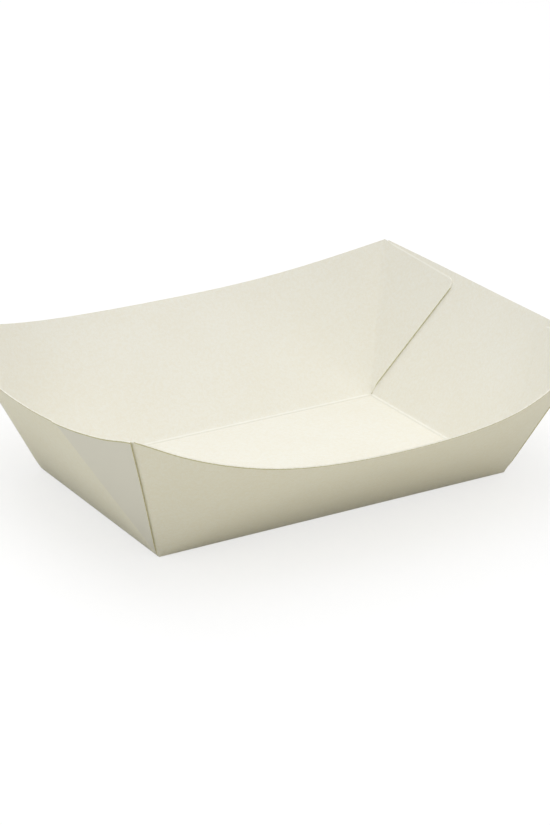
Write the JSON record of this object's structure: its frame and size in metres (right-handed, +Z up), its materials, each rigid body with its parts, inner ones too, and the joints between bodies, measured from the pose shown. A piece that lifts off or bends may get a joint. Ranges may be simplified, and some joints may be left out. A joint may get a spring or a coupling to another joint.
{
  "type": "paper food tray",
  "caption": "Shallow rectangular food tray folded from a sheet of pale board, with outward leaning bowed walls, a rim that dips between raised corners, and glue flaps inside the end walls.",
  "frame": {"origin": "centre of the underside of the base, at the height of the table it stands on", "axes": "+X along the tray's long side, +Y across it, +Z up out of the open top"},
  "size_m": [0.191, 0.163, 0.0506],
  "materials": {
    "paperboard": "matte uncoated off-white board with a very fine fibre mottle"
  },
  "bodies": {
    "root": {"tray": "paperboard"}
  },
  "joints": []
}
